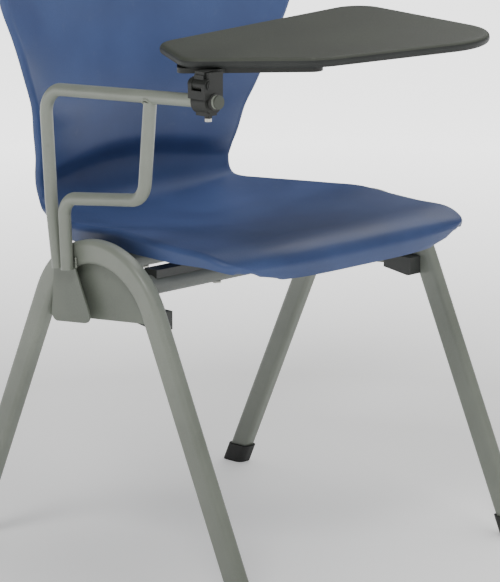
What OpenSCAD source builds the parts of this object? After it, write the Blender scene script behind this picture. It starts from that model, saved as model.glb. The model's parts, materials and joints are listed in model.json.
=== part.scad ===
// Student desk chair with a fold-up writing tablet.
// The chair faces -Y, the sitter's left is +X and the tablet arm stands on the -X side.
// Millimetres, +Z up, floor at z = 0, the origin under the middle of the overall outline.

/* [Seat shell] */
// Height of the lowest point of the seat dish above the floor
seat_h = 424; // [380:1:480]
// Full width of the seat over its turned-down side edges
seat_w = 450; // [400:1:500]
// Full width of the waist where seat and back meet
waist_w = 350; // [300:1:400]
// Full width of the upper back
back_w = 530; // [440:1:560]
// Height of the top edge of the back above the floor
back_top = 812; // [760:1:880]
// Wall thickness of the moulded shell
shell_t = 5; // [3:0.5:7]
// Outer radius of the rolled edge
roll_r = 8; // [7:0.5:10]
// How far the lumbar swell stands forward
lumbar = 15; // [8:1:26]

/* [Side frames] */
// Spacing of the two side frames, centre to centre
frame_gap = 498; // [460:1:540]
// Height of the centre line at the top of each arch
arch_top = 420; // [380:1:450]
// Bend radius of the arch centre line
arch_r = 107; // [80:1:130]
// Splay of the legs away from vertical, in degrees
splay = 24.6; // [15:0.1:30]
// Broad side of the frame tube
tube_a = 30; // [25:1:40]
// Narrow side of the frame tube
tube_b = 20; // [15:1:25]
// Corner radius of the frame tube
tube_c = 7; // [4:0.5:9]
// Wall thickness of the frame tube
tube_wall = 2; // [1.5:0.1:3]
// Thickness of the web plate inside each arch
web_t = 4; // [3:0.5:6]

/* [Cross tubes] */
// Distance of each cross tube from the middle of the arch
cross_y = 66; // [50:1:80]
// Height of the cross tube centre
cross_z = 385.5; // [360:0.5:400]
// Outer diameter of the cross tubes
cross_d = 25; // [20:1:32]
// Height of the bearer strip between tube and seat
bearer_h = 7; // [5:1:15]
// Sideways distance of the seat screws from the middle
screw_x = 112; // [80:1:150]

/* [Arm] */
// Outer diameter of the arm tubes
arm_d = 16; // [14:0.5:22]
// Wall thickness of the arm tubes
arm_wall = 1.5; // [1:0.1:2.5]
// Height of the top rail centre above the floor, at the middle of the chair
rail_z = 620.7; // [580:0.1:660]
// Rise of the top rail toward the front, in degrees
rail_rise = 2.7; // [0:0.1:6]
// Reach of the top rail in front of the middle of the chair
rail_reach = 229; // [200:1:260]
// Bend radius of the arm tubes
arm_bend = 30; // [20:1:40]
// Thickness of the plate between arm and side frame
arm_plate_t = 2.5; // [2:0.5:5]

/* [Tablet] */
// Distance of the tablet bracket in front of the middle of the chair
bracket_y = 210; // [180:1:215]
// Height of the hinge pin above the rail centre
pin_up = 20.5; // [18:0.5:28]
// Sideways offset of the hinge pin, outboard of the rail centre
pin_out = 9; // [6:0.5:12]
// Distance of the tablet's own zero point behind the bracket
tablet_back = 5; // [0:0.5:10]
// Thickness of the tablet
tablet_t = 12; // [10:0.5:18]
// Thickness of the support plate under the tablet
support_t = 6; // [5:0.5:8]
// Upward tilt of the tablet toward its free end, in degrees
tablet_tilt = 3.5; // [0:0.5:6]
// Fall of the tablet toward the front, in degrees
tablet_fall = 1.5; // [0:0.5:4]

/* [Origin] */
// Middle of the overall outline, sideways from the middle of the chair
mid_x = -10.25; // [-40:0.01:40]
// Middle of the overall outline, fore and aft from the middle of the arches
mid_y = -46.73; // [-120:0.01:60]

/* [Hidden] */
$fn = 32;

run = 0.05;                     // radial clearance of a turning fit
arm_x = -(frame_gap / 2 + tube_b / 2 + arm_plate_t + arm_d / 2);
arch_z = arch_top - arch_r;     // height of the arch centre
leg_y = arch_r * cos(splay);    // where arch and leg meet
leg_z = arch_z + arch_r * sin(splay);
leg_len = leg_z / cos(splay);
cross_half = frame_gap / 2 - tube_b / 2;
cross_top = cross_z + cross_d / 2;
bearer_top = cross_top + bearer_h;
screw_z = cross_z - cross_d / 2;
boss_f = 21;                    // height of the front bosses
boss_r = 14;                    // height of the rear bosses
glide_floor = 6;

function rail_at(y) = rail_z - y * tan(rail_rise);

// Stations along the middle of the shell, from the front lip to the top edge of the back:
// depth, height, half width, rise of the edges, curve power, flange depth, edge roll radius
stations = [
  [-212.6, seat_h - 25, 138, -8, 4, 1, 6],
  [-213, seat_h - 16, 169, -9, 4, 1, 6],
  [-211, seat_h - 4, 191, -9.5, 4, 1.5, 7],
  [-202, seat_h + 7, 208, -9, 4, 3, roll_r],
  [-184, seat_h + 13, seat_w / 2 - 6, -7, 4, 5, roll_r],
  [-154, seat_h + 14, seat_w / 2, -1, 3, 9, roll_r],
  [-108, seat_h + 10, seat_w / 2, 4, 2.6, 12, roll_r],
  [-56, seat_h + 5, seat_w / 2, 12, 2.4, 14, roll_r],
  [-6, seat_h + 1, seat_w / 2, 19, 2.4, 16, roll_r],
  [48, seat_h - 2, seat_w / 2 - 1, 19, 2.4, 15, roll_r],
  [100, seat_h - 4, seat_w / 2 - 9, 19, 2.4, 12, roll_r],
  [144, seat_h - 5, seat_w / 2 - 27, 20, 2.4, 8, 7],
  [181, seat_h - 3, waist_w / 2 + 3, 20, 2.3, 4, 6],
  [202, seat_h + 3, waist_w / 2 - 1, 22, 2.2, 2, 6],
  [217, seat_h + 18, waist_w / 2 - 2, 25, 2, 1, 6],
  [223, seat_h + 39, waist_w / 2 - 1, 26, 2, 2, 6],
  [224, seat_h + 60, waist_w / 2 + 3, 30, 2, 2, 6],
  [223, seat_h + 84, waist_w / 2 + 8, 36, 2, 2, 6],
  [222, seat_h + 116, waist_w / 2 + 16, 41, 2, 2, 6],
  [221, seat_h + 152, waist_w / 2 + 29, 52, 2, 2, 6],
  [222, seat_h + 192, waist_w / 2 + 48, 60, 2, 2, 6],
  [226, seat_h + 232, waist_w / 2 + 69, 71, 2, 2, 6],
  [232, seat_h + 272, back_w / 2 - 3, 77, 2, 2, 6],
  [239, seat_h + 312, back_w / 2, 78, 2, 2, 6],
  [245, back_top - 40, back_w / 2 - 3, 74, 2, 2, 6],
  [248, back_top - 18, back_w / 2 - 14, 68, 2, 2, 6],
  [249, back_top - 6, back_w / 2 - 32, 60, 2, 2, 6],
  [249.5, back_top, back_w / 2 - 55, 51, 2, 1, 6]];
last = len(stations) - 1;
lumbar_from = 15.8;             // station where the lumbar swell begins
lumbar_rows = 1.4;              // stations over which it rises
lumbar_to = 21.5;               // station where it has faded out

// smooth blend through four neighbouring stations
function blend4(a, b, c, d, t) = 0.5 * (2 * b + (c - a) * t + (2 * a - 5 * b + 4 * c - d) * t * t
  + (3 * b - a - 3 * c + d) * t * t * t);
function station(s) = let(i = min(max(floor(s), 0), last - 1))
  blend4(stations[max(i - 1, 0)], stations[i], stations[i + 1], stations[min(i + 2, last)], s - i);
function ease(t) = let(k = min(max(t, 0), 1)) k * k * (3 - 2 * k);
function swell(s, c) = c >= 1 ? 0 : lumbar * (1 - pow(c, 6))
  * ease((s + 0.9 * c * c - lumbar_from) / lumbar_rows)
  * (1 - ease((s - lumbar_from - 2.5) / (lumbar_to - lumbar_from - 2.5)));
// sideways and outward position across the shell: 0 to 1 dish, 1 to 2 rolled edge, 2 to 3 flange
function across(c, hw, rise, p, f, rr) =
  let(al = atan(p * rise / (hw - rr)), m = hw - rr * (1 + sin(al)), h = al - (al + 90) * (c - 1))
  c <= 1 ? [m * c, rise * pow(c, p)]
  : c <= 2 ? [m + rr * (sin(al) - sin(h)), rise + rr * (cos(h) - cos(al))]
  : [m + rr * (1 + sin(al)), rise - rr * cos(al) - f * (c - 2)];
function skin(s, c) =
  let(q = station(s), e = 0.01, s0 = max(s - e, 0), s1 = min(s + e, last),
      d = station(s1) - station(s0), l = norm([d[0], d[1]]), a = abs(c),
      w = across(a, q[2], q[3], q[4], q[5], q[6]), k = w[1] + swell(s, a))
  [sign(c) * w[0], q[0] - k * d[1] / l, q[1] + k * d[0] / l];
function skin_n(s, c) =
  let(e = 0.02, s0 = max(s - e, 0), s1 = min(s + e, last), c0 = max(c - e, -3), c1 = min(c + e, 3),
      n = cross(skin(s, c1) - skin(s, c0), skin(s1, c) - skin(s0, c)))
  n / norm(n);

module seat_shell() {
  cols = concat([-3], [for (i = [0:4]) -2 + i / 4], [for (i = [1:19]) -1 + i / 10],
    [for (i = [0:4]) 1 + i / 4], [3]);
  rows = [for (i = [0:3 * last]) i / 3];
  nc = len(cols);
  nr = len(rows);
  top = [for (s = rows) for (c = cols) skin(s, c)];
  under = [for (s = rows) for (c = cols) skin(s, c) - shell_t * skin_n(s, c)];
  n = nr * nc;
  function at(r, c) = r * nc + c;
  faces = concat(
    [for (r = [0:nr - 2]) for (c = [0:nc - 2]) each
      [[at(r, c), at(r + 1, c), at(r + 1, c + 1)], [at(r, c), at(r + 1, c + 1), at(r, c + 1)],
       [n + at(r, c), n + at(r + 1, c + 1), n + at(r + 1, c)],
       [n + at(r, c), n + at(r, c + 1), n + at(r + 1, c + 1)]]],
    [for (r = [0:nr - 2]) each
      [[at(r, 0), n + at(r, 0), n + at(r + 1, 0)], [at(r, 0), n + at(r + 1, 0), at(r + 1, 0)],
       [at(r, nc - 1), n + at(r + 1, nc - 1), n + at(r, nc - 1)],
       [at(r, nc - 1), at(r + 1, nc - 1), n + at(r + 1, nc - 1)]]],
    [for (c = [0:nc - 2]) each
      [[at(0, c), n + at(0, c + 1), n + at(0, c)], [at(0, c), at(0, c + 1), n + at(0, c + 1)],
       [at(nr - 1, c), n + at(nr - 1, c), n + at(nr - 1, c + 1)],
       [at(nr - 1, c), n + at(nr - 1, c + 1), at(nr - 1, c + 1)]]]);
  color("royalblue") polyhedron(concat(top, under), faces);
}

// flat plane of the side view: first number is Y, second is Z, thickness runs along X
module side_plane(x = 0) { translate([x, 0, 0]) rotate([90, 0, 90]) children(); }

module rounded(a, b, r) {
  square([a - 2 * r, b], center = true);
  square([a, b - 2 * r], center = true);
  for (i = [-1, 1]) for (j = [-1, 1]) translate([i * (a / 2 - r), j * (b / 2 - r)]) circle(r);
}

// outline drawn tight round a ring of circles [x, y, r], listed counter-clockwise
module ringed(c) {
  n = len(c);
  function lean(a, b) = let(d = [b[0] - a[0], b[1] - a[1]], l = norm(d), q = (a[2] - b[2]) / l,
    k = sqrt(1 - q * q)) atan2(q * d[1] - k * d[0], q * d[0] + k * d[1]);
  polygon([for (i = [0:n - 1]) let(a = c[i], from = lean(c[(i + n - 1) % n], a),
      sweep = (lean(a, c[(i + 1) % n]) - from + 720) % 360, steps = max(2, ceil(sweep / 7)))
    for (k = [0:steps]) let(t = from + sweep * k / steps) [a[0] + a[2] * cos(t), a[1] + a[2] * sin(t)]]);
}

// one side frame in its own plane: arch and two legs, cut level near the floor
module frame_bar(grow) {
  side_plane() {
    translate([0, arch_z, 0]) rotate([0, 0, splay]) rotate_extrude(angle = 180 - 2 * splay)
      translate([arch_r, 0]) rounded(tube_a + 2 * grow, tube_b + 2 * grow, tube_c + grow);
  }
  for (m = [0, 1]) mirror([0, m, 0]) translate([0, leg_y, leg_z]) rotate([splay, 0, 0])
    translate([0, 0, -leg_len - 30]) linear_extrude(leg_len + 30) rotate(90)
      rounded(tube_a + 2 * grow, tube_b + 2 * grow, tube_c + grow);
}

module side_frame() {
  color("gainsboro") intersection() {
    difference() {
      frame_bar(0);
      frame_bar(-tube_wall);
    }
    translate([-50, -400, glide_floor]) cube([100, 800, 600]);
  }
}

// flat plate that fills the top of an arch, with a level front corner and a lower rear one
module web_plate() {
  inner = arch_r - tube_a / 2 - 0.1;
  ly = inner * cos(splay);
  lz = arch_z + inner * sin(splay);
  low_f = 343;
  low_r = 326;
  color("gainsboro") side_plane(-web_t / 2) linear_extrude(web_t)
    polygon(concat([for (i = [0:30]) let(t = splay + (180 - 2 * splay) * i / 30)
        [inner * cos(t), arch_z + inner * sin(t)]],
      [[-ly - (lz - low_f) * tan(splay), low_f], [ly + (lz - low_r) * tan(splay), low_r]]));
}

module glide() {
  // foot glide for the front leg, measured in the side frame's own plane
  module leg_core(grow) { translate([0, leg_y, leg_z]) rotate([splay, 0, 0])
    translate([0, 0, -leg_len - 30]) linear_extrude(leg_len + 30) rotate(90)
      rounded(tube_a + 2 * grow, tube_b + 2 * grow, tube_c + grow); }
  color("dimgray") mirror([0, 1, 0]) difference() {
    intersection() {
      leg_core(3);
      translate([-50, 0, 0]) cube([100, 400, 26]);
    }
    intersection() {
      leg_core(0.1);
      translate([-50, 0, glide_floor]) cube([100, 400, 60]);
    }
  }
}

module stack_bumper() {
  color("dimgray") side_plane() linear_extrude(21) polygon([[-97, 334], [-92, 333], [-50, 339],
    [-50, 357], [-97, 357]]);
}

module cross_tube(y) {
  color("gainsboro") translate([-cross_half, y, cross_z]) rotate([90, 0, 90]) difference() {
    cylinder(d = cross_d, h = 2 * cross_half);
    translate([0, 0, -1]) cylinder(d = cross_d - 2 * tube_wall, h = 2 * cross_half + 2);
    for (s = [-1, 1]) translate([0, 0, cross_half + s * screw_x]) rotate([90, 0, 0])
      cylinder(d = 6.4, h = 60, center = true);
  }
}

// strip with a hollow underside that sits along the top of a cross tube
module bearer(y) {
  color("dimgray") difference() {
    translate([-cross_half + 14, y - 11, cross_top - 3]) cube([2 * cross_half - 28, 22, bearer_h + 3]);
    translate([-cross_half, y, cross_z]) rotate([90, 0, 90]) cylinder(d = cross_d, h = 2 * cross_half);
    for (s = [-1, 1]) translate([s * screw_x, y, cross_top - 5]) cylinder(d = 6.4, h = bearer_h + 10);
  }
}

// moulded boss under the shell; h is its height
module boss(h) {
  color("royalblue") difference() {
    cylinder(d = 26, h = h);
    translate([0, 0, -1]) cylinder(d = 5, h = h - 2);
  }
}

// low-head screw driven up through tube and bearer into the boss
module seat_screw() {
  color("silver") {
    translate([0, 0, -2]) difference() {
      cylinder(d = 11, h = 2);
      translate([0, 0, -1]) cylinder(d = 5, h = 2.2, $fn = 6);
    }
    cylinder(d = 5, h = cross_d + bearer_h + 7);
  }
}

// bent hollow tube through points of the side plane; r lists the bend radius at each point
module bent(pts, r) {
  n = len(pts);
  function way(i) = let(d = pts[i + 1] - pts[i]) d / norm(d);
  function turn(i) = let(a = way(i - 1), b = way(i)) atan2(a[0] * b[1] - a[1] * b[0], a * b);
  function cut(i) = (i == 0 || i == n - 1) ? 0 : r[i] * tan(abs(turn(i)) / 2);
  function ease_off(i) = (i == 0 || i == n - 1) ? 0 : 0.01;
  for (i = [0:n - 2]) let(w = way(i), a = pts[i] + w * (cut(i) + ease_off(i)),
      b = pts[i + 1] - w * (cut(i + 1) + ease_off(i + 1)))
    translate([a[0], a[1], 0]) rotate([0, 0, atan2(w[1], w[0])]) rotate([0, 90, 0]) difference() {
      cylinder(d = arm_d, h = norm(b - a));
      translate([0, 0, -1]) cylinder(d = arm_d - 2 * arm_wall, h = norm(b - a) + 2);
    }
  for (i = [1:n - 2]) let(w = way(i - 1), t = turn(i), g = sign(t),
      c = pts[i] - w * cut(i) + g * r[i] * [-w[1], w[0]], a0 = atan2(w[1], w[0]) - g * 90)
    translate([c[0], c[1], 0]) rotate([0, 0, g > 0 ? a0 : a0 + t]) rotate_extrude(angle = abs(t))
      translate([r[i], 0]) difference() {
        circle(d = arm_d);
        circle(d = arm_d - 2 * arm_wall);
      }
}

rail_pts = [[52.9, 396], [64, 477], [72.5, rail_at(72.5)], [-rail_reach, rail_at(-rail_reach)]];
loop_pts = [[36.5, 396], [41, 484.5], [-103.5, 501], [-115.5, rail_at(-115.5)]];

module arm_tube_outer() { color("gainsboro") side_plane(arm_x) bent(rail_pts, [0, 120, arm_bend, 0]); }

module arm_tube_inner() {
  color("gainsboro") side_plane(arm_x) difference() {
    bent(loop_pts, [0, arm_bend - 7, arm_bend - 5, 0]);
    translate([0, rail_z, 0]) rotate([0, 0, -rail_rise]) rotate([0, 90, 0])
      cylinder(r = arm_d / 2 + run, h = 600, center = true);
  }
}

module arm_plate() {
  color("gainsboro") side_plane(arm_x + arm_d / 2) linear_extrude(arm_plate_t)
    ringed([[16, 340, 10], [66, 335, 10], [62, 400, 8], [44, 404, 8]]);
}

module arm_end_cap() {
  color("gainsboro") translate([arm_x, -rail_reach, rail_at(-rail_reach)])
    rotate([90 - rail_rise, 0, 0]) {
      cylinder(d = arm_d, h = 2.5);
      translate([0, 0, -10]) cylinder(d = arm_d - 2 * arm_wall - 0.1, h = 10);
    }
}

// everything below is placed at the bracket: origin on the rail axis
module at_bracket() { translate([arm_x, -bracket_y, rail_at(-bracket_y)]) children(); }
module rail_dir() { rotate([90 - rail_rise, 0, 0]) children(); }
sleeve_r = arm_d / 2 + 1.4;     // outer radius of the nylon sleeve
cheek = 14;                     // half length of the bracket along the rail
gap = 8;                        // half length of the slot between its two cheeks

module bracket_bushing() {
  color("white") at_bracket() rail_dir() difference() {
    cylinder(r = sleeve_r, h = 2 * cheek + 4, center = true);
    cylinder(r = arm_d / 2 + run, h = 60, center = true);
  }
}

module bracket() {
  foot = -16;
  neck = 4;
  color("dimgray") at_bracket() difference() {
    union() {
      rail_dir() cylinder(r = sleeve_r + 4.6, h = 24, center = true);
      translate([-8, -9, foot]) cube([16, 18, 18]);
      translate([-16, -cheek, neck]) cube([29, 2 * cheek, pin_up - neck]);
      translate([-pin_out, -cheek, neck]) cube([pin_out + 13, 2 * cheek, pin_up + 8 - neck]);
      translate([-pin_out, -cheek, pin_up]) cube([pin_out + 13, cheek - gap, 14]);
      translate([-pin_out, 0, pin_up]) rotate([90, 0, 0])
        cylinder(r = 7, h = 2 * cheek, center = true);
    }
    rail_dir() cylinder(r = sleeve_r + 0.1, h = 80, center = true);
    translate([-40, -gap, pin_up - 7]) cube([80, 2 * gap, 40]);
    translate([-pin_out, 0, pin_up]) rotate([90, 0, 0]) cylinder(r = 3 + run, h = 80, center = true);
    translate([0, -3, -30]) cylinder(d = 5.2, h = 30);
  }
}

// clamp screw that comes up from below and bears on the sleeve
module bracket_bolt() {
  color("silver") at_bracket() translate([0, -3, 0]) {
    translate([0, 0, -23]) difference() {
      cylinder(d = 8, h = 3.6);
      translate([0, 0, -1]) cylinder(d = 4, h = 3.2, $fn = 6);
    }
    translate([0, 0, -20]) cylinder(d = 5, h = 20 - sleeve_r - 0.6);
  }
}

module bracket_nut() {
  color("silver") at_bracket() translate([0, -3, -19.2]) difference() {
    cylinder(d = 9, h = 3.1, $fn = 6);
    translate([0, 0, -1]) cylinder(d = 5.2, h = 6);
  }
}

module at_pin() { translate([arm_x - pin_out, -bracket_y, rail_at(-bracket_y) + pin_up]) children(); }

module hinge_pin() {
  color("silver") at_pin() rotate([90, 0, 0]) {
    cylinder(r = 3, h = 2 * cheek + 4, center = true);
    translate([0, 0, -cheek - 2.6]) cylinder(r = 5, h = 2.5);
  }
}

module hinge_clip() {
  color("silver") at_pin() rotate([90, 0, 0]) translate([0, 0, cheek + 0.3]) difference() {
    cylinder(r = 5, h = 1.2);
    translate([0, 0, -1]) cylinder(r = 3.05, h = 4);
  }
}

// tablet frame: origin above the pin, on the underside of the tablet
plate_up = 9;                   // height of the support plate above the pin centre
module at_tablet() { at_pin() translate([0, tablet_back, plate_up + support_t])
  rotate([tablet_fall, -tablet_tilt, 0]) children(); }
tablet_ring = [[28, 24, 27], [136, -54, 60], [290, -91, 78], [353, 76, 39], [72, 85, 37]];
plate_ring = [[9, 29, 10], [106, -81, 12], [126, -56, 12], [84, 76, 14], [58, 76, 12]];
pad_ring = [[19, 27, 12], [104, -76, 14], [124, -58, 16], [86, 74, 16], [58, 74, 14]];
screw_spots = [[58, 4], [100, -62], [104, 16], [60, 54]];

module support_plate() {
  color("dimgray") difference() {
    union() {
      at_tablet() translate([0, 0, -support_t]) linear_extrude(support_t) union() {
        ringed(plate_ring);
        translate([-2, 0.3 - gap - tablet_back]) square([40, 2 * gap - 0.6]);
      }
      at_pin() rotate([90, 0, 0]) cylinder(r = 6.6, h = 2 * gap - 0.6, center = true);
      at_pin() translate([-3, -gap + 0.3, 0]) cube([9, 2 * gap - 0.6, plate_up + 2]);
    }
    at_pin() rotate([90, 0, 0]) cylinder(r = 3 + run, h = 60, center = true);
    at_tablet() for (p = screw_spots) translate([p[0], p[1], -30]) cylinder(d = 4.4, h = 60);
  }
}

// panel with a shallow recess underneath, stiffened by ribs and a pad over the support plate
module tablet_top() {
  color("dimgray") at_tablet() difference() {
    linear_extrude(tablet_t) ringed(tablet_ring);
    difference() {
      translate([0, 0, -1]) linear_extrude(tablet_t - 4)
        ringed([for (c = tablet_ring) [c[0], c[1], c[2] - 6]]);
      translate([0, 0, -2]) linear_extrude(tablet_t)
        ringed(pad_ring);
      for (k = [0:3]) translate([170 + 55 * k, -250, -2]) cube([2.5, 500, tablet_t]);
      for (k = [-1:1]) translate([-50, 70 * k - 20, -2]) cube([500, 2.5, tablet_t]);
    }
    for (p = screw_spots) translate([p[0], p[1], -1]) cylinder(d = 3.6, h = 9);
  }
}

module tablet_screw(i) {
  color("silver") at_tablet() translate([screw_spots[i][0], screw_spots[i][1], -support_t]) {
    translate([0, 0, -2.6]) difference() {
      cylinder(d = 8, h = 2.5);
      translate([0, 0, -1]) cylinder(d = 3, h = 2.4, $fn = 6);
    }
    translate([0, 0, -0.2]) cylinder(d = 3.5, h = support_t + 7);
  }
}

module place() { translate([-mid_x, -mid_y, 0]) children(); }
module right() { translate([-frame_gap / 2, 0, 0]) children(); }
module left() { translate([frame_gap / 2, 0, 0]) children(); }

place() {
  seat_shell();
  translate([-screw_x, -cross_y, bearer_top]) boss(boss_f);  // seat_boss_rf
  translate([screw_x, -cross_y, bearer_top]) boss(boss_f);  // seat_boss_lf
  translate([-screw_x, cross_y, bearer_top]) boss(boss_r);  // seat_boss_rr
  translate([screw_x, cross_y, bearer_top]) boss(boss_r);  // seat_boss_lr
  right() side_frame();  // side_frame_right
  left() side_frame();  // side_frame_left
  right() translate([4, 0, 0]) web_plate();  // web_plate_right
  left() translate([-4, 0, 0]) web_plate();  // web_plate_left
  cross_tube(-cross_y);  // cross_tube_front
  cross_tube(cross_y);  // cross_tube_rear
  bearer(-cross_y);  // bearer_front
  bearer(cross_y);  // bearer_rear
  translate([-screw_x, -cross_y, screw_z]) seat_screw();  // seat_screw_rf
  translate([screw_x, -cross_y, screw_z]) seat_screw();  // seat_screw_lf
  translate([-screw_x, cross_y, screw_z]) seat_screw();  // seat_screw_rr
  translate([screw_x, cross_y, screw_z]) seat_screw();  // seat_screw_lr
  right() translate([tube_b / 2, 0, 0]) stack_bumper();  // stack_bumper_right
  left()  // stack_bumper_left
    translate([-tube_b / 2 - 21, 0, 0]) stack_bumper();
  right() glide();  // glide_rf
  right() mirror([0, 1, 0]) glide();  // glide_rr
  left() glide();  // glide_lf
  left() mirror([0, 1, 0]) glide();  // glide_lr
  arm_plate();
  arm_tube_outer();
  arm_tube_inner();
  arm_end_cap();
  bracket_bushing();
  bracket();
  bracket_bolt();
  bracket_nut();
  hinge_pin();
  hinge_clip();
  support_plate();
  tablet_top();
  tablet_screw(0);  // tablet_screw_1
  tablet_screw(1);  // tablet_screw_2
  tablet_screw(2);  // tablet_screw_3
  tablet_screw(3);  // tablet_screw_4
}
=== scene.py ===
import json
import math

import bmesh
import bpy
from mathutils import Matrix, Vector


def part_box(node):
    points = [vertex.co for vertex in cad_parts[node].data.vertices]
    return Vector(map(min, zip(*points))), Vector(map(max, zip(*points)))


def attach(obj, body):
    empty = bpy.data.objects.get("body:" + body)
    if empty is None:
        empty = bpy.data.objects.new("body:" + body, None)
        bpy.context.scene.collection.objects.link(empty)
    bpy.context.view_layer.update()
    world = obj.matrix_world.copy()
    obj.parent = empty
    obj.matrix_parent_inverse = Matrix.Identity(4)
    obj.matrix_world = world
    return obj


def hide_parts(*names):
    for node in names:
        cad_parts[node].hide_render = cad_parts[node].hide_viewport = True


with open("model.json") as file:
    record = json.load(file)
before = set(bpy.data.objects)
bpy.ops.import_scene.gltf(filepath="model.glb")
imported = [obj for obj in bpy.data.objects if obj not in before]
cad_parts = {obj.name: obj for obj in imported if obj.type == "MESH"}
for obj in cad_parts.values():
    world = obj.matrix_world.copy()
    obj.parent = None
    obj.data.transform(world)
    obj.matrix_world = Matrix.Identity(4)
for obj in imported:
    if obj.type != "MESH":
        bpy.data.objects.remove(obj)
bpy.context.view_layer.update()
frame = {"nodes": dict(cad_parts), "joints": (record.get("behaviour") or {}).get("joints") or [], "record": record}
MM = 0.001

# The chair's own middle, where the arches are centred, in the row frame.
arch_lo, arch_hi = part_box("side_frame_right")
left_lo, left_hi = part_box("side_frame_left")
MID_X = (arch_lo.x + left_hi.x) / 2
MID_Y = (arch_lo.y + arch_hi.y) / 2
MID = Vector((MID_X, MID_Y, 0))


# ---------------------------------------------------------------- materials

def new_material(name):
    m = bpy.data.materials.new(name)
    m.use_nodes = True
    t = m.node_tree
    return m, t, t.nodes["Principled BSDF"]


def noise(t, vector, scale, detail=2.0, rough=0.5):
    n = t.nodes.new("ShaderNodeTexNoise")
    n.inputs["Scale"].default_value = scale
    n.inputs["Detail"].default_value = detail
    n.inputs["Roughness"].default_value = rough
    t.links.new(vector, n.inputs["Vector"])
    return n.outputs["Fac"]


def spread(t, value, a, b, c, d):
    """value mapped from the range a to b onto c to d."""
    n = t.nodes.new("ShaderNodeMapRange")
    for key, number in zip(("From Min", "From Max", "To Min", "To Max"), (a, b, c, d)):
        n.inputs[key].default_value = number
    t.links.new(value, n.inputs["Value"])
    return n.outputs["Result"]


def blended(t, factor, first, second, mode="MIX"):
    n = t.nodes.new("ShaderNodeMix")
    n.data_type = "RGBA"
    n.blend_type = mode
    for key, value in ((0, factor), (6, first), (7, second)):
        if isinstance(value, (int, float)):
            n.inputs[key].default_value = value
        elif isinstance(value, tuple):
            n.inputs[key].default_value = (*value, 1)
        else:
            t.links.new(value, n.inputs[key])
    return n.outputs[2]


def bumps(t, layers):
    """Chain of bump nodes: layers are (height socket, strength, distance in metres)."""
    normal = None
    for height, strength, distance in layers:
        n = t.nodes.new("ShaderNodeBump")
        n.inputs["Strength"].default_value = strength
        n.inputs["Distance"].default_value = distance
        t.links.new(height, n.inputs["Height"])
        if normal is not None:
            t.links.new(normal, n.inputs["Normal"])
        normal = n.outputs["Normal"]
    return normal


def average(t, a, b):
    n = t.nodes.new("ShaderNodeMath")
    n.operation = "MULTIPLY_ADD"
    n.inputs[1].default_value = 0.5
    t.links.new(a, n.inputs[0])
    half = t.nodes.new("ShaderNodeMath")
    half.operation = "MULTIPLY"
    half.inputs[1].default_value = 0.5
    t.links.new(b, half.inputs[0])
    t.links.new(half.outputs[0], n.inputs[2])
    return n.outputs[0]


def made(name, colour, dark, light, rough, grain, grain_depth, specular=0.4, metallic=0.0,
         wear=0.0, wear_colour=(0.3, 0.3, 0.3), coat=0.0, mottle=9.0):
    """A moulded, painted or plated surface: mottled colour, uneven gloss, fine grain and scuffs."""
    m, t, p = new_material(name)
    where = t.nodes.new("ShaderNodeTexCoord").outputs["Object"]
    broad = noise(t, where, mottle, 4)
    fine = noise(t, where, grain, 3, 0.6)
    speck = noise(t, where, grain * 0.35, 5, 0.7)
    tone = blended(t, spread(t, broad, 0.35, 0.65, 0, 1), dark, light)
    tone = blended(t, spread(t, speck, 0.42, 0.62, 0, 0.55), tone, colour)
    if wear:
        scuff = noise(t, where, 42, 8, 0.72)
        mask = spread(t, scuff, 0.60, 0.72, 0, wear)
        tone = blended(t, mask, tone, wear_colour)
    t.links.new(tone, p.inputs["Base Color"])
    gloss = spread(t, average(t, broad, speck), 0.3, 0.7, rough - 0.07, rough + 0.09)
    t.links.new(gloss, p.inputs["Roughness"])
    p.inputs["Metallic"].default_value = metallic
    p.inputs["Specular IOR Level"].default_value = specular
    p.inputs["Coat Weight"].default_value = coat
    p.inputs["Coat Roughness"].default_value = 0.25
    t.links.new(bumps(t, [(speck, 0.25, grain_depth * 2), (fine, 0.5, grain_depth)]), p.inputs["Normal"])
    return m


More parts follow.
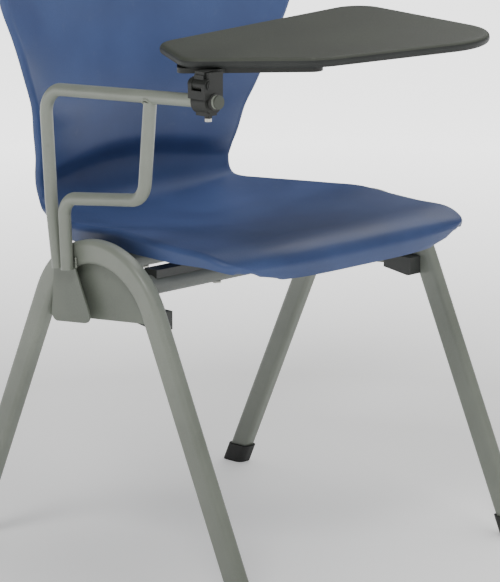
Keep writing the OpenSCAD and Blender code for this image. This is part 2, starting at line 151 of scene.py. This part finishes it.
mat = {
    "shell_blue": made(
        "shell_blue", (0.045, 0.073, 0.180), (0.039, 0.063, 0.157), (0.053, 0.086, 0.209),
        0.44, 1500, 0.00012, specular=0.32, wear=0.25, wear_colour=(0.10, 0.13, 0.21)),
    "frame_paint": made(
        "frame_paint", (0.200, 0.219, 0.184), (0.172, 0.188, 0.158), (0.228, 0.248, 0.210),
        0.40, 1300, 0.00008, specular=0.45, wear=0.35, wear_colour=(0.15, 0.155, 0.13), coat=0.1),
    # painted shade: a darker copy of the frame paint for the cross tubes in the seat's shadow
    "frame_painted_shade": made(
        "frame_painted_shade", (0.120, 0.130, 0.120), (0.100, 0.110, 0.102), (0.140, 0.152, 0.140),
        0.45, 1300, 0.00008, specular=0.4, wear=0.35, wear_colour=(0.08, 0.082, 0.078)),
    # a darker, slightly rougher copy of the frame paint for the web and arm plates
    "frame_darker": made(
        "frame_darker", (0.150, 0.168, 0.138), (0.125, 0.140, 0.116), (0.175, 0.194, 0.160),
        0.45, 1300, 0.00008, specular=0.4, wear=0.4, wear_colour=(0.10, 0.105, 0.09)),
    "dark_plastic": made(
        "dark_plastic", (0.040, 0.043, 0.040), (0.032, 0.035, 0.032), (0.052, 0.055, 0.052),
        0.5, 1300, 0.0001, wear=0.3, wear_colour=(0.09, 0.09, 0.085)),
    "glide_plastic": made(
        "glide_plastic", (0.024, 0.025, 0.024), (0.019, 0.020, 0.019), (0.036, 0.037, 0.035),
        0.6, 900, 0.00015, wear=0.6, wear_colour=(0.12, 0.11, 0.10)),
    "cap_grey": made(
        "cap_grey", (0.050, 0.057, 0.044), (0.042, 0.048, 0.037), (0.064, 0.072, 0.056),
        0.5, 1200, 0.0001, wear=0.2, wear_colour=(0.2, 0.2, 0.18)),
    "nylon": made(
        "nylon", (0.04, 0.04, 0.038), (0.032, 0.032, 0.030), (0.06, 0.06, 0.057),
        0.5, 1200, 0.00008),
    "bracket_black": made(
        "bracket_black", (0.016, 0.018, 0.016), (0.013, 0.014, 0.013), (0.023, 0.025, 0.022),
        0.5, 1100, 0.00015, specular=0.3, wear=0.4, wear_colour=(0.06, 0.06, 0.056)),
    "tablet_black": made(
        "tablet_black", (0.045, 0.050, 0.039), (0.039, 0.043, 0.034), (0.053, 0.059, 0.046),
        0.56, 1400, 0.00012, specular=0.26, wear=0.3, wear_colour=(0.10, 0.105, 0.085)),
    # painted shade: a darker copy of the tablet colour for the rim, ribs and underside
    "tablet_painted_shade": made(
        "tablet_painted_shade", (0.022, 0.025, 0.023), (0.018, 0.020, 0.019), (0.030, 0.033, 0.031),
        0.55, 1400, 0.00012, specular=0.3, wear=0.35, wear_colour=(0.06, 0.062, 0.055)),
    "zinc": made(
        "zinc", (0.42, 0.42, 0.38), (0.34, 0.34, 0.31), (0.52, 0.52, 0.48),
        0.38, 1500, 0.00005, metallic=0.85, wear=0.3, wear_colour=(0.25, 0.24, 0.22)),
    "weld": made(
        "weld", (0.21, 0.23, 0.19), (0.16, 0.175, 0.145), (0.26, 0.28, 0.235),
        0.42, 600, 0.0003, specular=0.5),
}
# painted shade: the painted cross tubes under the seat get a darker copy of the frame paint for the seat's shadow;
# the painted web and arm plates get a darker, slightly rougher copy, so these sub-parts look darker or duller than
# the tubes
SHADES = {"cross_tube_front": "frame_painted_shade", "cross_tube_rear": "frame_painted_shade",
          "web_plate_right": "frame_darker", "web_plate_left": "frame_darker", "arm_plate": "frame_darker"}
slot_of = {s["node"]: s["material_slot"] for s in frame["record"]["subparts"]}
for node, ob in frame["nodes"].items():
    look = mat[SHADES.get(node, slot_of[node])]
    for i in range(max(1, len(ob.material_slots))):
        if i < len(ob.material_slots):
            ob.material_slots[i].material = look
        else:
            ob.data.materials.append(look)


# ---------------------------------------------------------------- mesh helpers

def finish_piece(name, bm, slot, body, replaces=(), smooth=True, material=None):
    bmesh.ops.remove_doubles(bm, verts=bm.verts, dist=1e-6)
    bmesh.ops.recalc_face_normals(bm, faces=bm.faces)
    me = bpy.data.meshes.new(name)
    bm.to_mesh(me)
    bm.free()
    me.materials.append(mat[material or slot])
    ob = bpy.data.objects.new(name, me)
    bpy.context.scene.collection.objects.link(ob)
    if smooth:
        for p in me.polygons:
            p.use_smooth = True
    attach(ob, body)
    if replaces:
        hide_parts(*replaces)
    return ob


def sharp(ob, angle):
    ob.data.set_sharp_from_angle(angle=math.radians(angle))


def grid_faces(bm, rings, closed_u=True, closed_v=False):
    n, m = len(rings), len(rings[0])
    for i in range(n if closed_v else n - 1):
        for j in range(m if closed_u else m - 1):
            a, b = rings[i], rings[(i + 1) % n]
            k = (j + 1) % m
            try:
                bm.faces.new((a[j], a[k], b[k], b[j]))
            except ValueError:
                pass


# ---------------------------------------------------------------- seat shell

SEAT_H, SEAT_W, WAIST_W, BACK_W, BACK_TOP = 424, 450, 350, 530, 812
SHELL_T, ROLL, LUMBAR = 5, 8, 15
# depth, height, half width, rise of the edges, curve power, flange depth, edge roll radius
STATIONS = [
    (-212.6, SEAT_H - 25, 138, -8, 4, 1, 6),
    (-213, SEAT_H - 16, 169, -9, 4, 1, 6),
    (-211, SEAT_H - 4, 191, -9.5, 4, 1.5, 7),
    (-202, SEAT_H + 7, 208, -9, 4, 3, ROLL),
    (-184, SEAT_H + 13, SEAT_W / 2 - 6, -7, 4, 5, ROLL),
    (-154, SEAT_H + 14, SEAT_W / 2, -1, 3, 9, ROLL),
    (-108, SEAT_H + 10, SEAT_W / 2, 4, 2.6, 12, ROLL),
    (-56, SEAT_H + 5, SEAT_W / 2, 12, 2.4, 14, ROLL),
    (-6, SEAT_H + 1, SEAT_W / 2, 19, 2.4, 16, ROLL),
    (48, SEAT_H - 2, SEAT_W / 2 - 1, 19, 2.4, 15, ROLL),
    (100, SEAT_H - 4, SEAT_W / 2 - 9, 19, 2.4, 12, ROLL),
    (144, SEAT_H - 5, SEAT_W / 2 - 27, 20, 2.4, 8, 7),
    (181, SEAT_H - 3, WAIST_W / 2 + 3, 20, 2.3, 4, 6),
    (202, SEAT_H + 3, WAIST_W / 2 - 1, 22, 2.2, 2, 6),
    (217, SEAT_H + 18, WAIST_W / 2 - 2, 25, 2, 1, 6),
    (223, SEAT_H + 39, WAIST_W / 2 - 1, 26, 2, 2, 6),
    (224, SEAT_H + 60, WAIST_W / 2 + 3, 30, 2, 2, 6),
    (223, SEAT_H + 84, WAIST_W / 2 + 8, 36, 2, 2, 6),
    (222, SEAT_H + 116, WAIST_W / 2 + 16, 41, 2, 2, 6),
    (221, SEAT_H + 152, WAIST_W / 2 + 29, 52, 2, 2, 6),
    (222, SEAT_H + 192, WAIST_W / 2 + 48, 60, 2, 2, 6),
    (226, SEAT_H + 232, WAIST_W / 2 + 69, 71, 2, 2, 6),
    (232, SEAT_H + 272, BACK_W / 2 - 3, 77, 2, 2, 6),
    (239, SEAT_H + 312, BACK_W / 2, 78, 2, 2, 6),
    (245, BACK_TOP - 40, BACK_W / 2 - 3, 74, 2, 2, 6),
    (248, BACK_TOP - 18, BACK_W / 2 - 14, 68, 2, 2, 6),
    (249, BACK_TOP - 6, BACK_W / 2 - 32, 60, 2, 2, 6),
    (249.5, BACK_TOP, BACK_W / 2 - 55, 51, 2, 1, 6)]
LAST = len(STATIONS) - 1
LUMBAR_FROM, LUMBAR_ROWS, LUMBAR_TO = 15.8, 1.4, 21.5


def station(s):
    """The shell's measures at s, blended smoothly through the four neighbouring stations."""
    i = min(max(int(math.floor(s)), 0), LAST - 1)
    t = s - i
    a, b, c, d = (STATIONS[max(min(k, LAST), 0)] for k in (i - 1, i, i + 1, i + 2))
    return [0.5 * (2 * q + (r - p) * t + (2 * p - 5 * q + 4 * r - u) * t * t
                   + (3 * q - p - 3 * r + u) * t ** 3)
            for p, q, r, u in zip(a, b, c, d)]


def ease(t):
    t = min(max(t, 0), 1)
    return t * t * (3 - 2 * t)


def swell(s, c):
    if c >= 1:
        return 0
    return (LUMBAR * (1 - c ** 6) * ease((s + 0.9 * c * c - LUMBAR_FROM) / LUMBAR_ROWS)
            * (1 - ease((s - LUMBAR_FROM - 2.5) / (LUMBAR_TO - LUMBAR_FROM - 2.5))))


def across(c, hw, rise, power, flange, r):
    """Sideways and outward place: c is 0 to 1 in the dish, 1 to 2 round the edge, 2 to 3 down the flange."""
    al = math.atan(power * rise / (hw - r))
    m = hw - r * (1 + math.sin(al))
    if c <= 1:
        return m * c, rise * c ** power
    if c <= 2:
        h = al - (al + math.pi / 2) * (c - 1)
        return m + r * (math.sin(al) - math.sin(h)), rise + r * (math.cos(h) - math.cos(al))
    return m + r * (1 + math.sin(al)), rise - r * math.cos(al) - flange * (c - 2)


def skin(s, c):
    q = station(s)
    s0, s1 = max(s - 0.01, 0), min(s + 0.01, LAST)
    a, b = station(s0), station(s1)
    dy, dz = b[0] - a[0], b[1] - a[1]
    length = math.hypot(dy, dz)
    x, k = across(abs(c), *q[2:])
    k += swell(s, abs(c))
    return Vector((math.copysign(x, c), q[0] - k * dz / length, q[1] + k * dy / length))


def skin_normal(s, c):
    e = 0.02
    s0, s1, c0, c1 = max(s - e, 0), min(s + e, LAST), max(c - e, -3), min(c + e, 3)
    return (skin(s, c1) - skin(s, c0)).cross(skin(s1, c) - skin(s0, c)).normalized()


def build_shell():
    per_row = 7
    rows = [i / per_row for i in range(per_row * LAST + 1)]
    n_dish, n_roll = ((64, 10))
    half = [i / n_dish for i in range(n_dish + 1)] + [1 + (i + 1) / n_roll for i in range(n_roll)] + [2.5, 3]
    cols = [-c for c in reversed(half[1:])] + half
    bm = bmesh.new()
    rings, inner = [], []
    for s in rows:
        spots = [(skin(s, c), skin_normal(s, c)) for c in cols]
        rings.append([bm.verts.new(p * MM + MID) for p, n in spots])
        inner.append([bm.verts.new((p - n * SHELL_T) * MM + MID) for p, n in spots])
    grid_faces(bm, rings, closed_u=False)
    grid_faces(bm, [list(reversed(r)) for r in inner], closed_u=False)

    def edge(outer_pts, inner_pts):
        for i in range(len(outer_pts) - 1):
            bm.faces.new((outer_pts[i], inner_pts[i], inner_pts[i + 1], outer_pts[i + 1]))

    edge([r[0] for r in rings], [r[0] for r in inner])
    edge([r[-1] for r in inner], [r[-1] for r in rings])
    edge(inner[0], rings[0])
    edge(rings[-1], inner[-1])
    ob = finish_piece("shell", bm, "shell_blue", "chair", ["seat_shell"])
    bevel = ob.modifiers.new("soft_edges", "BEVEL")
    bevel.width = 0.0012
    bevel.segments = 3
    bevel.limit_method = "ANGLE"
    bevel.angle_limit = math.radians(50)
    return ob


shell = build_shell()


# ---------------------------------------------------------------- bent tubes

def centreline(points, radii, turn=4, step=30):
    """Points of a bent bar in its own side plane: (y, z, tangent y, tangent z) in millimetres."""
    out = []
    pts = [Vector(p) for p in points]
    cuts = [0] * len(pts)
    for i in range(1, len(pts) - 1):
        a, b = (pts[i] - pts[i - 1]).normalized(), (pts[i + 1] - pts[i]).normalized()
        cuts[i] = radii[i] * math.tan(a.angle(b) / 2)
    for i in range(len(pts) - 1):
        w = (pts[i + 1] - pts[i]).normalized()
        a, b = pts[i] + w * cuts[i], pts[i + 1] - w * cuts[i + 1]
        n = max(1, int((b - a).length / step))
        for k in range(n + 1):
            p = a.lerp(b, k / n)
            out.append((p.x, p.y, w.x, w.y))
        if i + 2 < len(pts):
            v = (pts[i + 2] - pts[i + 1]).normalized()
            g = 1 if w.x * v.y - w.y * v.x > 0 else -1
            whole = w.angle(v)
            centre = b + g * radii[i + 1] * Vector((-w.y, w.x))
            m = max(2, int(math.degrees(whole) / turn))
            for k in range(1, m):
                a2 = g * whole * k / m
                cos, sin = math.cos(a2), math.sin(a2)
                t = Vector((w.x * cos - w.y * sin, w.x * sin + w.y * cos))
                p = centre - g * radii[i + 1] * Vector((-t.y, t.x))
                out.append((p.x, p.y, t.x, t.y))
    return out


def round_profile(r, n=32):
    return [(r * math.cos(2 * math.pi * k / n), r * math.sin(2 * math.pi * k / n)) for k in range(n)]


def box_profile(a, b, r, n=6):
    out = []
    for cx, cy, start in ((1, 1, 0), (-1, 1, 90), (-1, -1, 180), (1, -1, 270)):
        for k in range(n + 1):
            t = math.radians(start + 90 * k / n)
            out.append((cx * (a / 2 - r) + r * math.cos(t), cy * (b / 2 - r) + r * math.sin(t)))
    return out


def ring_at(bm, station_point, profile, x, level=None):
    y, z, ty, tz = station_point
    ring = []
    for u, v in profile:
        p = Vector((x + v, y - u * tz, z + u * ty))
        if level is not None:
            p += Vector((0, ty, tz)) * ((level - p.z) / tz)
        ring.append(bm.verts.new(p * MM + MID))
    return ring


HOLLOW = 14


def swept(bm, line, profile, x, level=None, inner=None):
    """A bar along line. An inner profile hollows its two ends; level cuts both ends flat at that height."""
    ends = (0, len(line) - 1)
    rings = [ring_at(bm, p, profile, x, level if i in ends else None) for i, p in enumerate(line)]
    grid_faces(bm, rings)
    for end, ring in ((0, rings[0]), (-1, rings[-1])):
        if inner is None:
            bm.faces.new(ring)
            continue
        y, z, ty, tz = line[end]
        sign = 1 if end == 0 else -1
        lip = ring_at(bm, line[end], inner, x, level)
        step = sign * HOLLOW
        deep = ring_at(bm, (y + step * ty, z + step * tz, ty, tz), inner, x)
        grid_faces(bm, [ring, lip, deep])
        bm.faces.new(deep)


lo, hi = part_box("arm_tube_outer")
ARM_X = ((lo.x + hi.x) / 2 - MID_X) / MM
ARM_R, ARM_WALL = 8, 1.5
RAIL_RISE = math.tan(math.radians(2.7))
RAIL_Z, RAIL_REACH = 620.7, 229


def rail_at(y):
    return RAIL_Z - y * RAIL_RISE


def arm_tube(name, node, points, radii):
    bm = bmesh.new()
    swept(bm, centreline(points, radii), round_profile(ARM_R, 40), ARM_X,
          inner=round_profile(ARM_R - ARM_WALL, 40))
    ob = finish_piece(name, bm, "frame_paint", "chair", [node])
    sharp(ob, 40)
    return ob


arm_tube("arm_rail", "arm_tube_outer",
         [(52.9, 396), (64, 477), (72.5, rail_at(72.5)), (-RAIL_REACH, rail_at(-RAIL_REACH))],
         [0, 120, 30, 0])
arm_tube("arm_step", "arm_tube_inner",
         [(36.5, 396), (41, 484.5), (-103.5, 501), (-115.5, rail_at(-115.5) - 6)], [0, 23, 25, 0])

ARCH_R, SPLAY, ARCH_TOP = 107, 24.6, 420
LEG_Y = ARCH_R * math.cos(math.radians(SPLAY))
LEG_Z = ARCH_TOP - ARCH_R + ARCH_R * math.sin(math.radians(SPLAY))
LEAN = math.tan(math.radians(SPLAY))
FLOOR_GAP = 6


def side_bar(name, node):
    a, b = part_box(node)
    x = ((a.x + b.x) / 2 - MID_X) / MM
    foot = LEG_Y + (LEG_Z - FLOOR_GAP) * LEAN
    corners = [(-foot, FLOOR_GAP), (0, LEG_Z + LEG_Y / LEAN), (foot, FLOOR_GAP)]
    bm = bmesh.new()
    swept(bm, centreline(corners, [0, ARCH_R, 0], 3), box_profile(30, 20, 7, 8), x, level=FLOOR_GAP)
    ob = finish_piece(name, bm, "frame_paint", "chair", [node])
    sharp(ob, 50)
    return ob


side_bar("side_bar_right", "side_frame_right")
side_bar("side_bar_left", "side_frame_left")


# ---------------------------------------------------------------- weld beads

def bead(name, loop, radius, closed=True, wobble=0.25):
    """A weld bead along points in the chair's own millimetres, a little uneven like real weld."""
    bm = bmesh.new()
    n = len(loop)
    rings = []
    for i, p in enumerate(loop):
        q = Vector(loop[(i + 1) % n] if closed or i + 1 < n else p)
        o = Vector(loop[i - 1] if closed or i else p)
        t = (q - o).normalized()
        side = t.cross(Vector((0.31, 0.52, 0.8))).normalized()
        up = t.cross(side)
        r = radius * (1 + wobble * math.sin(i * 1.9) * math.sin(i * 0.53 + 1))
        rings.append([bm.verts.new((Vector(p) + side * r * math.cos(a) + up * r * math.sin(a)) * MM + MID)
                      for a in [2 * math.pi * k / 10 for k in range(10)]])
    grid_faces(bm, rings, closed_v=closed)
    if not closed:
        bm.faces.new(rings[0])
        bm.faces.new(rings[-1])
    return finish_piece(name, bm, "frame_paint", "chair", material="weld")


def circle_points(centre, radius, axis, n=60):
    out = []
    for k in range(n):
        a = 2 * math.pi * k / n
        u, v = radius * math.cos(a), radius * math.sin(a)
        out.append(Vector(centre) + (Vector((0, u, v)) if axis == "x" else Vector((u, v, 0))))
    return out


for node, tag in (("cross_tube_front", "front"), ("cross_tube_rear", "rear")):
    a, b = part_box(node)
    a, b = (a - MID) / MM, (b - MID) / MM
    middle, ring_r = (a + b) / 2, (b.z - a.z) / 2 + 0.5
    for x, side in ((a.x + 0.9, "right"), (b.x - 0.9, "left")):
        bead(f"weld_{tag}_{side}", circle_points((x, middle.y, middle.z), ring_r, "x"), 1.7)

# where the step's upright meets the rail
STEP_Y = -114.8
mouth = []
for k in range(48):
    a = 2 * math.pi * k / 48
    x, y = 0.985 * (ARM_R + 0.6) * math.sin(a), STEP_Y + (ARM_R + 0.6) * math.cos(a)
    half_chord = min(ARM_R, abs((ARM_R + 0.4) * math.sin(a)))
    drop = math.sqrt((ARM_R + 0.4) ** 2 - half_chord ** 2)
    mouth.append((ARM_X + x, y, rail_at(y) - drop))
bead("weld_rail", mouth, 1.3)

# the arm tubes' ends on the plate
a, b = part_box("arm_plate")
face = (a.x - MID_X) / MM
BEAD_TOP, BEAD_LOW = 411, 398
for tag, y0, y1 in (("a", 62.9, 60.9), ("b", 46.1, 44.7), ("c", 29.3, 28.5)):
    pts = [(face - 0.4, y0 + (y1 - y0) * k / 12, BEAD_TOP + (BEAD_LOW - BEAD_TOP) * k / 12)
           for k in range(13)]
    bead(f"weld_plate_{tag}", pts, 1.2, closed=False)


# ---------------------------------------------------------------- writing tablet

TABLET_RING = [(28, 24, 27), (136, -54, 60), (290, -91, 78), (353, 76, 39), (72, 85, 37)]
PAD_RING = [(19, 27, 12), (104, -76, 14), (124, -58, 16), (86, 74, 16), (58, 74, 14)]
joint = {j["name"]: j for j in frame["joints"]}
PIN = Vector(joint["tablet_lift"]["pos_m"])
TABLET = (Matrix.Translation(PIN + Vector((0, 0.005, 0.015)))
          @ Matrix.Rotation(math.radians(-3.5), 4, "Y") @ Matrix.Rotation(math.radians(1.5), 4, "X"))


def outline(ring, inset, per_corner=14, per_side=6):
    """Closed loop of points tight round a ring of circles, each circle drawn inset smaller."""
    n = len(ring)

    def lean(a, b):
        dx, dy = b[0] - a[0], b[1] - a[1]
        length = math.hypot(dx, dy)
        dx, dy, q = dx / length, dy / length, (a[2] - b[2]) / length
        k = math.sqrt(1 - q * q)
        return math.atan2(q * dy - k * dx, q * dx + k * dy)

    out = []
    for i, a in enumerate(ring):
        b = ring[(i + 1) % n]
        start, end = lean(ring[i - 1], a), lean(a, b)
        sweep = (end - start) % (2 * math.pi)
        r = a[2] - inset
        for k in range(per_corner + 1):
            t = start + sweep * k / per_corner
            out.append(Vector((a[0] + r * math.cos(t), a[1] + r * math.sin(t))))
        p = out[-1]
        q = Vector((b[0] + (b[2] - inset) * math.cos(end), b[1] + (b[2] - inset) * math.sin(end)))
        for k in range(1, per_side):
            out.append(p.lerp(q, k / per_side))
    return out


def on_tablet(bm, points, z):
    return [bm.verts.new(TABLET @ Vector((p.x * MM, p.y * MM, z * MM))) for p in points]


def chord(loop, axis, value):
    """Lowest and highest crossing of a closed loop with the line axis = value."""
    hits = []
    for p, q in zip(loop, loop[1:] + loop[:1]):
        if (p[axis] - value) * (q[axis] - value) <= 0 and p[axis] != q[axis]:
            hits.append(p.lerp(q, (value - p[axis]) / (q[axis] - p[axis]))[1 - axis])
    return (min(hits), max(hits)) if hits else None


TABLET_T = 12
RIM_LINE = TABLET_T - 3.6
RIB_GAP_X, RIB_GAP_Y = 55, 70


def build_tablet():
    T = TABLET_T
    bm = bmesh.new()
    # inset from the outline and height: over the top, round the edge and up into the hollow underside
    rim = [(20, T), (10, T), (6.4, T - 0.05), (4.4, T - 0.3), (2.8, T - 0.9), (1.5, T - 1.9),
           (0.6, T - 3.1), (0.15, T - 4.4), (0.0, T - 5.6), (0.0, 4.6), (0.3, 3.2), (1.0, 1.9),
           (2.0, 0.9), (3.3, 0.25), (4.6, 0.0), (5.6, 0.0), (6.0, 0.5), (6.3, 7.0), (12, 7.0)]
    rings = [on_tablet(bm, outline(TABLET_RING, inset), z) for inset, z in rim]
    grid_faces(bm, rings)
    bm.faces.new(rings[0])
    bm.faces.new(rings[-1])
    # pad over the support plate
    pad = [on_tablet(bm, outline(PAD_RING, s), z)
           for s, z in ((-0.6, 7.2), (0, 6.4), (0, 0.7), (0.7, 0.05), (3, 0.05))]
    grid_faces(bm, pad)
    bm.faces.new(pad[0])
    bm.faces.new(pad[-1])
    # ribs
    edge = outline(TABLET_RING, 6.2)
    spans = [(0, 171.25 + RIB_GAP_X * k) for k in range(4)]
    spans += [(1, RIB_GAP_Y * k - 18.75) for k in (-1, 0, 1)]
    for axis, value in spans:
        reach = chord(edge, axis, value)
        if not reach:
            continue
        low, high = reach[0] + 0.5, reach[1] - 0.5
        steps = []
        for w, z in ((1.25, 7.1), (1.25, 0.9), (0.7, 0.35)):
            corners = [(low, -w), (high, -w), (high, w), (low, w)]
            flat = [Vector((value + b, a)) if axis == 0 else Vector((a, value + b)) for a, b in corners]
            steps.append(on_tablet(bm, flat, z))
        grid_faces(bm, steps)
        bm.faces.new(steps[0])
        bm.faces.new(steps[-1])
    ob = finish_piece("tablet_panel", bm, "tablet_black", "tablet", ["tablet_top"])
    sharp(ob, 38)
    # the writing surface turns over the edge; below it rim, ribs and underside get a darker copy of the tablet
    # colour, painted shade
    ob.data.materials.append(mat["tablet_painted_shade"])
    back = TABLET.inverted()
    for p in ob.data.polygons:
        if (back @ p.center).z < RIM_LINE * MM:
            p.material_index = 1
    return ob


build_tablet()


# ---------------------------------------------------------------- stage, light, camera

def stage_floor():
    bm = bmesh.new()
    rings = []
    for r in (0.001, 0.5, 2, 6, 20, 60):
        rings.append([bm.verts.new((r * math.cos(a), r * math.sin(a), 0))
                      for a in [2 * math.pi * k / 48 for k in range(48)]])
    grid_faces(bm, rings)
    bm.faces.new(rings[0])
    me = bpy.data.meshes.new("floor")
    bm.to_mesh(me)
    bm.free()
    m, t, p = new_material("floor_glow")
    where = t.nodes.new("ShaderNodeTexCoord").outputs["Object"]
    pale = blended(t, noise(t, where, 1.5, 3), (0.86, 0.86, 0.85), (0.88, 0.88, 0.87))
    t.links.new(pale, p.inputs["Base Color"])
    p.inputs["Roughness"].default_value = 0.9
    p.inputs["Specular IOR Level"].default_value = 0.1
    p.inputs["Emission Color"].default_value = (1, 1, 1, 1)
    # painted light: the floor glows, brightly far off like a studio backdrop and only faintly under the chair
    reach = t.nodes.new("ShaderNodeVectorMath")
    reach.operation = "LENGTH"
    t.links.new(where, reach.inputs[0])
    t.links.new(spread(t, reach.outputs["Value"], 0.9, 3.2, 0.32, 2.6), p.inputs["Emission Strength"])
    me.materials.append(m)
    ob = bpy.data.objects.new("floor", me)
    bpy.context.scene.collection.objects.link(ob)
    return ob


stage_floor()


def area_light(name, place, target, width, power, colour=(1, 1, 1)):
    data = bpy.data.lights.new(name, "AREA")
    data.shape = "SQUARE"
    data.size = width
    data.energy = power
    data.color = colour
    ob = bpy.data.objects.new(name, data)
    bpy.context.scene.collection.objects.link(ob)
    ob.location = place
    ob.rotation_euler = (Vector(target) - Vector(place)).to_track_quat("-Z", "Y").to_euler()
    return ob


aim = (0, 0, 0.5)
area_light("key", (-2.1, -1.0, 3.0), aim, 0.9, 48)
area_light("front", (-0.1, -2.6, 2.4), aim, 1.4, 14)
area_light("top", (0.9, -0.4, 3.3), aim, 2.8, 64)
area_light("sheen", (2.3, 0.8, 2.3), aim, 1.8, 19)

world = bpy.data.worlds.new("studio")
bpy.context.scene.world = world
world.use_nodes = True
world.node_tree.nodes["Background"].inputs["Color"].default_value = (1, 1, 1, 1)
world.node_tree.nodes["Background"].inputs["Strength"].default_value = 0.1

camera_data = bpy.data.cameras.new("camera")
camera = bpy.data.objects.new("camera", camera_data)
bpy.context.scene.collection.objects.link(camera)
target = Vector((0.01354, 0, 0.3296)) + MID
azimuth, elevation, distance = math.radians(-45.255), math.radians(12.603), 3.4
flat = math.cos(elevation)
back = Vector((math.sin(azimuth) * flat, -math.cos(azimuth) * flat, math.sin(elevation)))
camera.location = target + back * distance
camera.rotation_euler = (-back).to_track_quat("-Z", "Y").to_euler()
camera_data.sensor_fit = "HORIZONTAL"
camera_data.sensor_width = 36
camera_data.lens = 187.8
camera_data.clip_end = 200
bpy.context.scene.camera = camera
